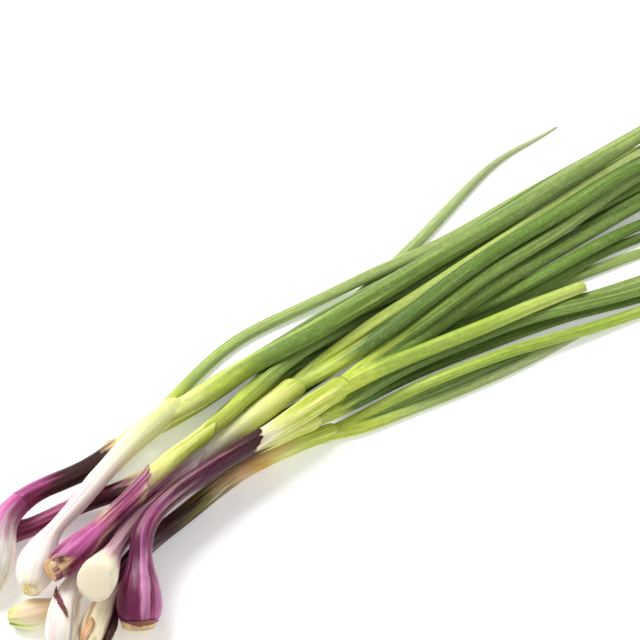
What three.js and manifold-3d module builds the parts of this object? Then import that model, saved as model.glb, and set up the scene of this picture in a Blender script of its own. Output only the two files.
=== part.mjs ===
// A bunch of purple spring onions lying on a table, in millimetres, +Z up. +X runs along the bunch, from
// the roots to the leaf tips. The origin is on the table, under the middle of the bunch. Every onion is one
// stem, with its bulb and root plate, and two or three leaves that part from the top of its sheaths. The
// bunch is loose: each piece lies on the table or on the pieces under it, in the order that the layers
// give.
import * as THREE from 'three';
import { mergeVertices } from 'three/addons/utils/BufferGeometryUtils.js';
import Module from 'manifold-3d';

// Driving dimensions
const GAP = 0.3; // between pieces that touch
const LAY_GAP = 0.8; // what the settling keeps between centrelines, past the two half thicknesses
const FLAT = 0.25; // depth of the flat spots that the bunch rests on
const STEM_SIDES = 10;
const LEAF_SIDES = 8;
const BULB_STEP = 4;
const STEM_STEP = 9;
const LEAF_STEP = 16;
const LEAF_FLATNESS = 0.64; // thickness of a leaf for its width
const BLADE_HALF_MIN = 0.45; // half thickness at the very tip
const FORK = 45; // length over which the leaves of one onion still share a sheath
const SHEATH_TOP = 14; // length over which a stem draws in between its leaves
const PLATE_RIM = 1; // rounded edge of a root plate
const SETTLE_SWEEPS = 1500;
const STEM_STIFFNESS = 1500; // bending radius that a stem takes under its own weight
const LEAF_STIFFNESS = 500;

// Each onion: the way its stem lies from the root plate to the top of its sheaths, as [x, y] on the table,
// its layer from the table up, the radii of its plate, bulb, neck, stem and top, the length of its bulb, how
// high its own leaves lift its top, and where an old sheath ends.
const ONIONS = {
  k: {
    layer: 1.0, plate: 3.0, bulb: 7.2, neck: 3.2, stem: 3.4, top: 3.4, bulbLength: 26,
    way: [[-216, -43], [-207, -50], [-194, -53], [-168, -47], [-148, -38], [-120, -30], [-95, -32]],
  },
  i: {
    layer: 1.1, plate: 4.0, bulb: 8.4, neck: 4.2, stem: 4.0, top: 4.2, bulbLength: 34,
    sheath: { end: 118, step: 0.5, slant: 5 },
    way: [
      [-201, -83], [-189, -73], [-174, -62], [-152, -53], [-126, -50], [-92, -47.5], [-65, -51], [-39, -57.5],
    ],
  },
  g: {
    layer: 1.8, plate: 3.5, bulb: 7.2, neck: 4.0, stem: 4.4, top: 5.6, bulbLength: 46, lift: 17,
    sheath: { end: 126, step: 0.6, slant: 7 },
    way: [
      [-212, -76], [-205, -68], [-194, -57], [-178, -49], [-150, -40], [-108, -35], [-75, -34], [-41, -33],
    ],
  },
  c: {
    layer: 1.7, plate: 3.5, bulb: 8.0, neck: 4.5, stem: 4.2, top: 4.4, bulbLength: 44,
    way: [[-222, 9], [-213, 4], [-198, -4], [-186, -11], [-161, -16], [-136, -24], [-112, -27]],
  },
  e: {
    layer: 2.2, plate: 8.2, bulb: 8.7, neck: 3.8, stem: 4.1, top: 4.2, bulbLength: 30, fullest: 0.15, rise: 9,
    way: [
      [-188, -71], [-179, -65], [-169, -58], [-147, -47], [-120, -46], [-95, -45], [-70, -48], [-45, -52],
    ],
  },
  a: {
    layer: 3.0, plate: 4.5, bulb: 9.5, neck: 5.8, stem: 4.7, top: 4.8, bulbLength: 38,
    way: [[-217, -28], [-206, -18], [-191, -7], [-175, -2], [-146, -4], [-122, -1], [-103, 3]],
  },
  f: {
    layer: 4.0, plate: 7.4, bulb: 10.2, neck: 4.6, stem: 3.8, top: 5.6, bulbLength: 36,
    fullest: 0.28, sheath: { end: 116, step: 0.5, slant: 4 },
    way: [
      [-176, -85], [-165.5, -73], [-158, -64], [-150, -56], [-138, -52], [-102, -49], [-62, -50], [-26, -48],
    ],
  },
  b: {
    layer: 5.0, plate: 4.0, bulb: 9.2, neck: 3.5, stem: 4.5, top: 5.8, bulbLength: 36, fullest: 0.33,
    way: [[-205, -45], [-195, -36], [-184, -28], [-161, -21], [-132, -11], [-106, -5], [-90, -3]],
  },
  d: {
    layer: 6.0, plate: 4.4, bulb: 7.1, neck: 4.2, stem: 3.8, top: 4.2, bulbLength: 34,
    sheath: { end: 84, step: 0.5, slant: 5 },
    way: [[-196, -49], [-184, -47.5], [-171, -45], [-150, -41], [-127, -35], [-105, -32], [-89, -30]],
  },
};

// Each leaf: the onion that it grows on, how far below the top of the sheaths it parts, its layer, its full
// width, and the way it lies from there to its tip. blunt is a leaf whose tip was cut off.
const LEAVES = {
  a_1: {
    below: 4, layer: 4.2, width: 6.6,
    way: [[-86, 7], [-63, 13], [-38, 16], [-14, 12], [30, 3], [76, -6], [142, -10], [214, -13], [262, -20]],
  },
  a_2: {
    below: 14, layer: 3.2, width: 7.0,
    way: [[-62, -1], [-4, -4], [58, -9], [120, -12], [200, -22], [276, -30]],
  },
  a_3: {
    below: 26, layer: 3.4, width: 6.2,
    way: [[-80, -6], [-42, -6], [18, -12], [80, -16], [150, -19], [240, -33]],
  },
  b_1: {
    below: 6, layer: 5.1, width: 5.2,
    way: [[-66, -3], [-47, -6], [-12, -10], [25, -12], [90, -12], [150, -12], [238, -12]],
  },
  b_2: {
    below: 10, layer: 9.0, width: 10.6,
    way: [[-60, -12], [-40, -19], [10, -20], [63, -19], [115, -22], [175, -22], [210, -19], [290, -22]],
  },
  b_3: {
    below: 24, layer: 5.2, width: 6.6,
    way: [[-50, -10], [0, -18], [60, -24], [120, -26], [190, -28], [262, -34]],
  },
  c_1: {
    below: 4, layer: 1.5, width: 6.6,
    way: [[-90, -22], [-60, -15], [-20, -8], [20, -3], [62, 4], [109, 15], [144, 22], [170, 19], [184, 19]],
  },
  c_2: {
    below: 12, layer: 1.55, width: 7.0,
    way: [[-60, -24], [0, -18], [60, -18], [120, -24], [180, -30], [254, -38]],
  },
  c_3: {
    below: 22, layer: 1.6, width: 7.0,
    way: [[-60, -31], [0, -29], [60, -34], [120, -42], [170, -48], [244, -60]],
  },
  d_1: {
    below: 6, layer: 4.4, width: 6.4,
    way: [[-68, -25], [-50, -21], [-34, -17], [0, -13], [60, -20], [120, -26], [190, -33], [272, -42]],
  },
  d_2: {
    below: 10, layer: 5.0, width: 7.0,
    way: [[-62, -26], [-46, -24], [-30, -22], [-8, -21], [30, -26], [80, -32], [150, -38], [256, -50]],
  },
  d_3: {
    below: 24, layer: 3.6, width: 7.0,
    way: [
      [-76, -27], [-48, -24], [-14, -25], [20, -38], [55, -50], [100, -57], [140, -59], [167, -61],
      [248, -80],
    ],
  },
  e_1: {
    below: 4, layer: 2.5, width: 7.0,
    way: [[-10, -56], [15, -58], [60, -68], [102, -80.5], [121, -89.5], [204, -117]],
  },
  e_2: {
    below: 8, layer: 3.5, width: 7.0,
    way: [[0, -56], [35, -62], [70, -70], [111, -86], [149, -98.5], [222, -124]],
  },
  e_3: {
    below: 20, layer: 3.0, width: 6.6,
    way: [[0, -52], [50, -60], [84, -71], [116, -81.5], [140, -87], [232, -112]],
  },
  f_1: {
    below: 6, layer: 6.0, width: 9.6,
    way: [[-2, -49], [26, -49], [54, -48], [107, -48], [150, -49], [178, -51], [268, -63]],
  },
  f_2: {
    below: 10, layer: 7.0, width: 7.6,
    way: [[-4, -45], [16, -46], [41, -46], [72, -44], [128, -43], [187, -40], [258, -48]],
  },
  f_3: {
    below: 20, layer: 8.0, width: 8.0, blunt: 3.3,
    way: [[-14, -51], [4, -55], [26, -59], [49, -64], [85, -71], [112, -74]],
  },
  g_1: {
    below: 6, layer: 8.9, width: 6.6,
    way: [[-25, -30], [-13, -30], [12, -30], [51, -30], [104, -30], [160, -29], [284, -32]],
  },
  g_2: {
    below: 6, layer: 10.0, width: 8.2,
    way: [[-13, -39], [14, -41], [57, -39], [93, -37], [135, -38], [194, -38], [278, -41]],
  },
  g_3: {
    below: 18, layer: 6.4, width: 6.6,
    way: [[-10, -34], [30, -36], [80, -38], [140, -40], [246, -52]],
  },
  i_1: {
    below: 8, layer: 3.8, width: 6.2,
    way: [[-14, -62], [17, -71], [60, -81], [102, -94], [125, -100], [208, -130]],
  },
  i_2: {
    below: 4, layer: 1.7, width: 6.0,
    way: [[-5, -66], [16, -72], [37, -77], [64, -84]],
  },
  i_3: {
    below: 20, layer: 1.4, width: 6.6,
    way: [[-39, -61], [-8, -69], [13, -75], [35, -80], [58, -85], [110, -92]],
  },
  k_1: {
    below: 4, layer: 1.2, width: 6.2,
    way: [[-60, -40], [0, -46], [63, -49], [108, -61], [154, -73], [226, -98]],
  },
  k_2: {
    below: 12, layer: 1.3, width: 6.2,
    way: [[-50, -36], [0, -42], [60, -52], [100, -60], [137, -61], [161, -66], [240, -90]],
  },
};

// Colours of the pieces, from white at the roots to green at the tips
const STEM_COLOURS = {
  a: '#a65a93', b: '#f0ece2', c: '#6b2f4e', d: '#9c5c86', e: '#d9cfc6',
  f: '#7d3a66', g: '#a66a92', i: '#5b3438', k: '#ece6d6',
};
const LEAF_COLOURS = ['#6f8f45', '#4f7138', '#5f8240'];

const smooth = THREE.MathUtils.smoothstep;

// Radius of a stem at a length from its root plate: the bulb swells fast, draws in slowly to the neck, and
// the stem thickens again a little where the sheaths part. An old sheath that ends leaves a step.
function stemRadius(onion, along, length) {
  const u = along / onion.bulbLength;
  const fullest = onion.fullest ?? 0.4;
  const { plate, bulb } = onion;
  let radius;
  if (along < PLATE_RIM) radius = plate * THREE.MathUtils.lerp(0.7, 1, along / PLATE_RIM);
  else if (u < fullest) radius = plate + (bulb - plate) * Math.sin(u / fullest * Math.PI / 2) ** 0.8;
  else radius = onion.neck + (bulb - onion.neck) * (1 - smooth(u, fullest, 1));
  if (u >= 1) radius = onion.neck + (onion.stem - onion.neck) * smooth(u, 1, 1.6);
  radius += (onion.top - onion.stem) * smooth(along, length - 60, length - SHEATH_TOP);
  radius *= 1 - 0.4 * smooth(along, length - SHEATH_TOP, length);
  const sheath = onion.sheath;
  return sheath && along > onion.bulbLength && along <= sheath.end ? radius + sheath.step : radius;
}

// Half the width of a leaf: it widens out of the sheath, and draws in to a point over its outer half.
function leafHalfWidth(leaf, along, length) {
  const u = along / length;
  const root = 0.94 + 0.06 * smooth(u, 0, 0.25);
  if (leaf.blunt) return THREE.MathUtils.lerp(leaf.width / 2 * root, leaf.blunt, smooth(u, 0.5, 1));
  const tip = 1 - 0.92 * Math.max(0, (u - 0.6) / 0.4) ** 1.8;
  return leaf.width / 2 * root * tip;
}

// A strand is a stem or a leaf as the settling sees it: points along its way, with a half width, a half
// thickness, a height and a layer at each.
function strandAlong(name, way, lengths, sizes) {
  const points = way.map(([x, y]) => new THREE.Vector3(x, y, 0));
  const curve = new THREE.CatmullRomCurve3(points, false, 'centripetal');
  const total = curve.getLength();
  const stations = lengths(total);
  const centres = stations.map((s) => curve.getPointAt(Math.min(1, s / total)));
  const strand = { name, centres, rests: [], ...sizes };
  measure(strand);
  strand.centres.forEach((centre, i) => { centre.z = strand.halves[i].up + 4; });
  return strand;
}

// Lengths along a strand, and from them the half width and half thickness at each point
function measure(strand) {
  const { centres } = strand;
  strand.along = [0];
  for (let i = 1; i < centres.length; i++) {
    strand.along.push(strand.along[i - 1] + centres[i].distanceTo(centres[i - 1]));
  }
  strand.length = strand.along.at(-1);
  strand.halves = strand.along.map((s) => strand.halfSize(s, strand.length));
}

function steps(total, near, nearStep, farStep) {
  const nearCount = Math.round(near / nearStep);
  const stations = nearCount ? [0, PLATE_RIM] : [];
  for (let i = 1; i < nearCount; i++) stations.push(i * near / nearCount);
  const farCount = Math.max(2, Math.round((total - near) / farStep));
  for (let i = 0; i <= farCount; i++) stations.push(near + i * (total - near) / farCount);
  return stations;
}

const stems = Object.entries(ONIONS).map(([letter, onion]) => strandAlong(
  `onion_${letter}_stem`, onion.way, (total) => steps(total, onion.bulbLength, BULB_STEP, STEM_STEP), {
    letter, onion, layer: onion.layer, droop: STEM_STIFFNESS, rise: onion.rise ?? 0,
    halfSize: (s, length) => ({ side: stemRadius(onion, s, length), up: stemRadius(onion, s, length) }),
  },
));
const stemOf = Object.fromEntries(stems.map((stem) => [stem.letter, stem]));

const leaves = Object.entries(LEAVES).map(([key, leaf]) => {
  const [letter, number] = key.split('_');
  const stem = stemOf[letter];
  const from = stem.along.findIndex((s) => s >= stem.length - leaf.below);
  const root = stem.centres[from];
  const way = [[root.x, root.y], ...leaf.way];
  const name = `onion_${letter}_leaf_${number}`;
  return strandAlong(name, way, (total) => steps(total, 0, LEAF_STEP, LEAF_STEP), {
    letter, leaf, layer: leaf.layer, droop: LEAF_STIFFNESS, rise: 0, stem, from,
    halfSize: (s, length) => {
      const side = leafHalfWidth(leaf, s, length);
      const flatness = THREE.MathUtils.lerp(0.92, LEAF_FLATNESS, smooth(s, 0, 60));
      return { side, up: Math.max(BLADE_HALF_MIN, side * flatness) };
    },
  });
});
const strands = [...stems, ...leaves];

// What every point of a strand lies on: the stretches of lower layers that cross under its width, each with
// the height that the point keeps above them. Two round pieces side by side keep less height than one on
// top of the other. A leaf starts in its stem, so a strand under that stem doesn't lie on the leaf's start,
// and nothing lies on a bulb that is propped up.
function findRests(strand) {
  strand.rests = strand.centres.map((centre, i) => {
    const found = [];
    for (const under of strands) {
      if (under.layer >= strand.layer) continue;
      const kin = under.letter === strand.letter;
      if (kin && (under === strand.stem || strand.along[i] < FORK)) continue;
      const freeLeaf = under.stem && (kin || under.stem.layer > strand.layer) ? FORK : 0;
      const free = under.rise ? under.onion.bulbLength : freeLeaf;
      for (let j = 0; j < under.centres.length - 1; j++) {
        if (under.along[j] < free) continue;
        const [a, b] = [under.centres[j], under.centres[j + 1]];
        const [dx, dy] = [b.x - a.x, b.y - a.y];
        const foot = ((centre.x - a.x) * dx + (centre.y - a.y) * dy) / (dx * dx + dy * dy);
        const t = THREE.MathUtils.clamp(foot, 0, 1);
        const away = Math.hypot(centre.x - a.x - t * dx, centre.y - a.y - t * dy);
        const underHalf = (axis) => THREE.MathUtils.lerp(under.halves[j][axis], under.halves[j + 1][axis], t);
        const side = strand.halves[i].side + underHalf('side') + LAY_GAP;
        if (away >= side) continue;
        const up = strand.halves[i].up + underHalf('up') + LAY_GAP;
        found.push({ a, b, t, keep: up * Math.sqrt(1 - (away / side) ** 2) });
      }
    }
    return found;
  });
}

// One sweep of the settling: each point moves to the line between its neighbours, sags by the strand's own
// weight, and stays above the table and above what it lies on. A leaf's first two points stay in its stem.
function sweep(strand) {
  const { centres, along, halves, rests, droop, onion, stem, from } = strand;
  const last = centres.length - 1;
  centres.forEach((centre, i) => {
    if (stem && i < 2) {
      centre.z = stem.centres[Math.min(stem.centres.length - 1, from + i)].z;
      return;
    }
    const before = i ? along[i] - along[i - 1] : along[1];
    const sag = before ** 2 / droop;
    let target;
    if (i === 0 || i === last) {
      const [near, far] = i ? [i - 1, i - 2] : [1, 2];
      const slope = (centres[near].z - centres[far].z) / Math.abs(along[near] - along[far]);
      target = centres[near].z + slope * before - sag;
    } else {
      const after = along[i + 1] - along[i];
      target = (centres[i - 1].z * after + centres[i + 1].z * before) / (before + after) - sag / 2;
    }
    const lift = onion?.lift ? onion.lift * smooth(along[i], strand.length - 60, strand.length) : 0;
    let floor = Math.max(halves[i].up - FLAT, lift);
    for (const { a, b, t, keep } of rests[i]) {
      floor = Math.max(floor, THREE.MathUtils.lerp(a.z, b.z, t) + keep);
    }
    centre.z = Math.max(floor, THREE.MathUtils.lerp(centre.z, target, 0.8));
  });
}

for (const sweeps of [SETTLE_SWEEPS / 3, SETTLE_SWEEPS / 3, SETTLE_SWEEPS]) {
  strands.forEach(findRests);
  for (let k = 0; k < sweeps; k++) strands.forEach(sweep);
  strands.forEach(measure);
}

// A bulb that its neighbours prop up shows its root plate: its lower end is raised by its rise.
for (const stem of stems.filter(({ rise }) => rise)) {
  stem.centres.forEach((centre, i) => {
    centre.z += stem.rise * (1 - smooth(stem.along[i], 0, 1.3 * stem.onion.bulbLength));
  });
  measure(stem);
}

// Shared solids
const wasm = await Module();
wasm.setup();

function toSolid(geometry) {
  geometry.deleteAttribute('normal');
  geometry.deleteAttribute('uv');
  const merged = mergeVertices(geometry, 1e-5);
  const index = merged.index.array;
  const faces = [];
  for (let i = 0; i < index.length; i += 3) {
    const [a, b, c] = index.slice(i, i + 3);
    if (a !== b && b !== c && c !== a) faces.push(a, b, c);
  }
  return new wasm.Manifold(new wasm.Mesh({
    numProp: 3,
    vertProperties: new Float32Array(merged.attributes.position.array),
    triVerts: new Uint32Array(faces),
  }));
}

// The rings of a strand's skin, each with its length along, its radius, and how far it slants where a
// sheath ends
function ringsOf(strand, grow) {
  const { along, halves, length, onion, leaf } = strand;
  const rings = along.map((s, i) => ({ s, side: halves[i].side, up: halves[i].up, slant: 0 }));
  if (leaf?.blunt) rings.splice(-1, 1, { ...rings.at(-1), s: length - 2 });
  if (onion?.sheath) {
    const { end, step, slant } = onion.sheath;
    const clear = rings.filter(({ s }) => Math.abs(s - end) > slant + 3);
    const inner = stemRadius(onion, end + 1, length);
    clear.push({ s: end, side: inner + step, up: inner + step, slant });
    clear.push({ s: end + 0.5, side: inner, up: inner, slant });
    rings.splice(0, rings.length, ...clear.sort((p, q) => p.s - q.s));
  }
  return rings.map((ring) => ({ ...ring, side: ring.side + grow, up: ring.up + grow }));
}

// A closed lathe of the strand's rings, bent along its settled way and pressed to its half widths and
// thicknesses
function skinOf(strand, grow = 0) {
  const rings = ringsOf(strand, grow);
  const sides = strand.leaf ? LEAF_SIDES : STEM_SIDES;
  const walls = rings.map((_, i) => new THREE.Vector2(1, i));
  const profile = [new THREE.Vector2(0, -1), ...walls, new THREE.Vector2(0, rings.length)];
  const lathe = new THREE.LatheGeometry(profile, sides);
  const tip = strand.leaf?.blunt ? 2 : 0.4;
  const position = lathe.attributes.position;
  const point = new THREE.Vector3();
  for (let i = 0; i < position.count; i++) {
    point.fromBufferAttribute(position, i);
    const row = Math.round(point.y);
    const ring = rings[THREE.MathUtils.clamp(row, 0, rings.length - 1)];
    let overhang = 0;
    if (row < 0) overhang = -grow;
    if (row >= rings.length) overhang = grow + tip;
    const { centre, across, above } = pointAlong(strand, ring.s + overhang + ring.slant * point.x * 0.5);
    centre.addScaledVector(across, point.x * ring.side).addScaledVector(above, -point.z * ring.up);
    position.setXYZ(i, centre.x, centre.y, centre.z);
  }
  return toSolid(lathe);
}

// The centre of a strand at a length along it, straight on past its ends, with the directions across and
// above it
function pointAlong({ centres, along }, s) {
  let i = along.findIndex((next) => next > s) - 1;
  if (i === -2) i = along.length - 2;
  i = Math.max(0, i);
  const t = (s - along[i]) / (along[i + 1] - along[i]);
  const centre = centres[i].clone().lerp(centres[i + 1], t);
  const at = (k) => centres[THREE.MathUtils.clamp(k, 0, centres.length - 1)];
  const direction = (k) => at(k + 1).clone().sub(at(k - 1)).normalize();
  const ahead = direction(i).lerp(direction(i + 1), THREE.MathUtils.clamp(t, 0, 1)).normalize();
  const across = new THREE.Vector3(0, 0, 1).cross(ahead).normalize();
  const above = ahead.clone().cross(across);
  return { centre, across, above };
}

// Pieces are cut clear of the ones made before them: stems stay whole, and of two leaves the upper one does.
const table = toSolid(new THREE.BoxGeometry(800, 400, 20).translate(0, 0, -10));
const cutOrder = [...stems, ...leaves.toSorted((p, q) => q.layer - p.layer)];
const swollen = cutOrder.map((strand) => skinOf(strand, GAP));

function boxesMeet(p, q) {
  return [0, 1, 2].every((k) => p.min[k] <= q.max[k] && q.min[k] <= p.max[k]);
}

const bunch = new THREE.Group();
cutOrder.forEach((strand, i) => {
  let solid = skinOf(strand);
  const box = solid.boundingBox();
  for (let j = 0; j < i; j++) {
    if (boxesMeet(box, swollen[j].boundingBox())) solid = solid.subtract(swollen[j]);
  }
  solid = solid.subtract(table);
  const largest = solid.decompose().reduce((best, body) => (body.volume() > best.volume() ? body : best));
  const { vertProperties, triVerts } = largest.getMesh();
  const geometry = new THREE.BufferGeometry();
  geometry.setAttribute('position', new THREE.BufferAttribute(new Float32Array(vertProperties), 3));
  geometry.setIndex(new THREE.BufferAttribute(new Uint32Array(triVerts), 1));
  const number = Number(strand.name.at(-1));
  const color = strand.leaf ? LEAF_COLOURS[number - 1] : STEM_COLOURS[strand.letter];
  const material = new THREE.MeshStandardMaterial({ color, roughness: 0.45, metalness: 0 });
  const mesh = new THREE.Mesh(geometry, material);
  mesh.name = strand.name;
  bunch.add(mesh);
});

const reach = new THREE.Box3().setFromObject(bunch);
const middle = reach.getCenter(new THREE.Vector3());
bunch.position.set(-middle.x, -middle.y, -reach.min.z);

export default bunch;
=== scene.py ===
import math
import random

import bmesh
import bpy
import numpy as np
from bpy.props import FloatProperty, FloatVectorProperty, IntProperty, PointerProperty
from mathutils import Euler, Matrix, Vector


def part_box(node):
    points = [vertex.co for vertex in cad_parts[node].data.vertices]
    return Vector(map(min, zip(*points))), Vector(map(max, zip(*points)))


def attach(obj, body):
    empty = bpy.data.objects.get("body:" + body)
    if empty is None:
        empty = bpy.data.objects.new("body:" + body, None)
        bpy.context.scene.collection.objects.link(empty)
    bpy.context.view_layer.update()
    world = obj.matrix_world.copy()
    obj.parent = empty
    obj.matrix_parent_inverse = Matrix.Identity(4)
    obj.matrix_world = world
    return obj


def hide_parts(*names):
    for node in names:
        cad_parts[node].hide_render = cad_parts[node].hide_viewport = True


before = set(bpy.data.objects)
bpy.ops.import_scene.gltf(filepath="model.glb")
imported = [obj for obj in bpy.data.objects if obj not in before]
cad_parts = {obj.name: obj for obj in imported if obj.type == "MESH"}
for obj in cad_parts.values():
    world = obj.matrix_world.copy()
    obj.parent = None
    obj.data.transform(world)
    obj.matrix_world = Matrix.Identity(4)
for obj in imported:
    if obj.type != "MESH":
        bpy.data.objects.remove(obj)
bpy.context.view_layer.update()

bl_info = {
    "name": "Spring onion bunch",
    "version": (1, 0, 0),
    "blender": (4, 5, 0),
    "location": "View3D > Sidebar > Onions",
    "description": "Stems, sheaths, root plates and leaves of a loose bunch of purple spring onions",
    "category": "Mesh",
}

MM = 0.001
STEMS = sorted(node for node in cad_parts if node.endswith("_stem"))
LEAVES = sorted(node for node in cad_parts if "_leaf_" in node)

SMOOTH_STEMS = "begik"  # fresh stems, whose cells hardly show
SHEATHED_STEMS = "df"  # stems that a sheath covers from the root plate up, so their marks are on that alone

# Colours of each stem, by millimetres from its root plate. The second list of a stem has the colours of
# the streaks that run along it.
STEM_BANDS = {
    "a": (
        ((0, "cream"), (8, "white"), (26, "white"), (34, "blush"), (41, "lilac_and_highlight"), (50, "magenta"),
         (58, "maroon"), (66, "umber"), (90, "umber"), (96, "tan"), (105, "pale_green"), (127, "straw")),
        ((0, "white"), (22, "white"), (31, "lilac_and_highlight"), (44, "magenta"), (54, "plum"), (64, "maroon"),
         (86, "umber"), (94, "tan"), (104, "straw"), (127, "pale_green")),
    ),
    "b": (
        ((0, "cream"), (6, "white"), (60, "white"), (84, "ivory"), (100, "pale_green"), (125, "straw")),
        ((0, "cream"), (6, "white"), (30, "blush"), (52, "blush"), (72, "white"), (104, "ivory"),
         (125, "pale_green")),
    ),
    "c": (
        ((0, "cream"), (10, "white"), (24, "lilac_and_highlight"), (32, "magenta"), (40, "wine"), (60, "wine"),
         (74, "maroon"), (90, "umber"), (98, "tan"), (108, "straw"), (117, "yellow_green")),
        ((0, "white"), (24, "blush"), (34, "wine"), (56, "lilac_and_highlight"), (70, "wine"), (84, "maroon"),
         (98, "tan"), (117, "straw")),
    ),
    "d": (
        ((0, "tan"), (5, "wine"), (12, "magenta"), (24, "magenta"), (34, "rose"), (44, "plum"),
         (56, "magenta"), (62, "tan"), (70, "straw"), (90, "yellow_green"), (108, "yellow_green")),
        ((0, "tan"), (6, "magenta"), (14, "lilac_and_highlight"), (28, "rose"), (38, "tan"), (50, "lilac_and_highlight"),
         (60, "blush"), (68, "straw"), (108, "straw")),
    ),
    "e": (
        ((0, "cream"), (11, "cream"), (18, "mauve"), (36, "plum"), (58, "plum"), (66, "rose"), (80, "plum"),
         (96, "maroon"), (118, "umber"), (127, "straw"), (138, "yellow_green"), (156, "pear")),
        ((0, "cream"), (9, "ivory"), (16, "blush"), (32, "mauve"), (50, "plum"), (66, "blush"), (84, "rose"),
         (112, "plum"), (124, "straw"), (156, "straw")),
    ),
    "f": (
        ((0, "wheat"), (3, "tan"), (108, "cream"), (118, "cream"), (126, "straw"), (144, "yellow_green"),
         (169, "yellow_green")),
        ((0, "tan"), (112, "tan"), (122, "ivory"), (136, "straw"), (152, "straw"), (169, "pear")),
    ),
    "g": (
        ((0, "cream"), (8, "white"), (36, "white"), (46, "blush"), (56, "rose"), (64, "plum"), (118, "blush"),
         (130, "ivory"), (146, "pale_green"), (170, "straw"), (184, "yellow_green"), (193, "pear")),
        ((0, "cream"), (30, "cream"), (44, "rose"), (60, "plum"), (116, "white"), (134, "cream"),
         (158, "straw"), (184, "straw"), (193, "spring_green")),
    ),
    "i": (
        ((0, "tan"), (4, "sand"), (26, "cream"), (33, "blush"), (38, "wine"), (50, "maroon"), (70, "umber"),
         (92, "umber"), (102, "olive"), (112, "olive"), (120, "tan"), (130, "amber"), (140, "straw"),
         (156, "yellow_green"), (170, "yellow_green")),
        ((0, "tan"), (4, "cream"), (30, "blush"), (37, "plum"), (56, "mauve"), (76, "maroon"), (96, "olive"),
         (110, "blush"), (122, "amber"), (144, "straw"), (170, "straw")),
    ),
    "k": (
        ((0, "olive"), (3, "yellow_green"), (7, "pale_green"), (12, "cream"), (40, "sand"), (52, "mauve"),
         (64, "plum"), (80, "umber"), (100, "mauve"), (112, "umber"), (127, "tan")),
        ((0, "olive"), (5, "pale_green"), (12, "cream"), (36, "sand"), (56, "rose"), (72, "mauve"),
         (104, "rose"), (127, "tan")),
    ),
}
# The outer sheaths: where each starts and ends on its stem, how far its end slants and how ragged it is, all
# in millimetres, and then the colours along it and those of its streaks
SHEATHS = {
    "a": ((46, 97, 6, 2.5), ((46, "magenta"), (56, "wine"), (64, "maroon"),
                             (74, "umber"), (92, "umber"), (99, "tan")),
          ((46, "magenta"), (54, "magenta"), (66, "maroon"), (88, "umber"), (99, "tan"))),
    "d": ((3, 62, 7, 3), ((3, "peach"), (7, "wine"), (13, "magenta"), (24, "lilac_and_highlight"), (32, "rose"),
                          (42, "plum"), (52, "magenta"), (58, "rose"), (66, "tan")),
          ((3, "tan"), (8, "magenta"), (15, "lilac_and_highlight"), (26, "rose"), (34, "tan"), (46, "lilac_and_highlight"),
           (60, "blush"))),
    "f": ((3, 115, 4, 3), ((3, "magenta"), (8, "magenta"), (20, "magenta"), (34, "plum"), (48, "plum"),
                           (62, "maroon"), (80, "plum"), (96, "maroon"), (112, "umber")),
          ((3, "rose"), (10, "magenta"), (24, "lilac_and_highlight"), (36, "magenta"), (50, "rose"), (64, "mauve"),
           (82, "plum"), (100, "plum"), (112, "maroon"))),
    # On g's sheath the pale pink band about 100 mm from the root plate is a painted highlight.
    "g": ((42, 124, 12, 3), ((42, "blush"), (54, "rose"), (64, "plum"), (76, "magenta"), (88, "lilac_and_highlight"),
                             (100, "highlight_pink"), (114, "blush"), (124, "white")),
          ((42, "rose"), (56, "blush"), (70, "rose"), (82, "magenta"), (94, "magenta"), (110, "blush"),
           (124, "blush"))),
}
# Marks on a stem: the turn in degrees that a mark is centred on (0 is the underside, 90 the left, 180 the
# top), half its width in degrees, where it starts and ends in millimetres, its colour and how strong it is
MARKS = {
    "a": ((150, 46, 20, 60, "lilac_and_highlight", 0.7), (235, 40, 30, 56, "wine", 0.7)),
    # On b the grey mark on its right side is painted shade, and the white mark on its upper left is a painted
    # highlight.
    "b": ((255, 40, 8, 60, "shade_grey", 0.5), (150, 26, 4, 40, "white", 0.6)),
    "c": ((180, 20, 40, 90, "rose", 0.6),),
    # On d the first mark, pale and on the top of its bulb, is a painted highlight.
    "d": ((200, 24, 8, 32, "lilac_and_highlight", 0.8), (250, 26, 2, 26, "wine", 0.8), (205, 14, 34, 70, "rose", 0.8),
          (150, 16, 40, 66, "wine", 0.7)),
    "e": ((170, 60, 16, 60, "mauve", 0.5),),
    # On f the first mark and the fourth, pale streaks along the top of its bulb and of its neck, are painted
    # highlights.
    "f": ((198, 15, 4, 36, "highlight_pink", 0.9), (226, 10, 12, 30, "wine", 0.9), (258, 20, 2, 34, "lilac_and_highlight", 0.7),
          (196, 12, 34, 62, "lilac_and_highlight", 0.7), (150, 30, 2, 60, "plum", 0.6), (176, 10, 56, 100, "mauve", 0.5)),
    # On g the third mark, a pale streak along the top of its neck and sheath, is a painted highlight.
    "g": ((150, 16, 2, 30, "blush", 0.5), (226, 12, 2, 30, "bark", 0.5), (176, 18, 54, 104, "highlight_pink", 0.9),
          (228, 24, 46, 100, "wine", 0.8), (170, 44, 112, 130, "white", 0.8)),
    "i": ((186, 22, 6, 24, "ivory", 0.5), (142, 12, 2, 26, "bark", 0.6), (250, 26, 2, 44, "maroon", 1.0),
          (200, 24, 104, 150, "peach", 0.6)),
    # On k the mark on the top of its bulb is painted shade, where the root end of b lies over it.
    "k": ((200, 40, 6, 30, "peach", 0.4),),
}
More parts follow.
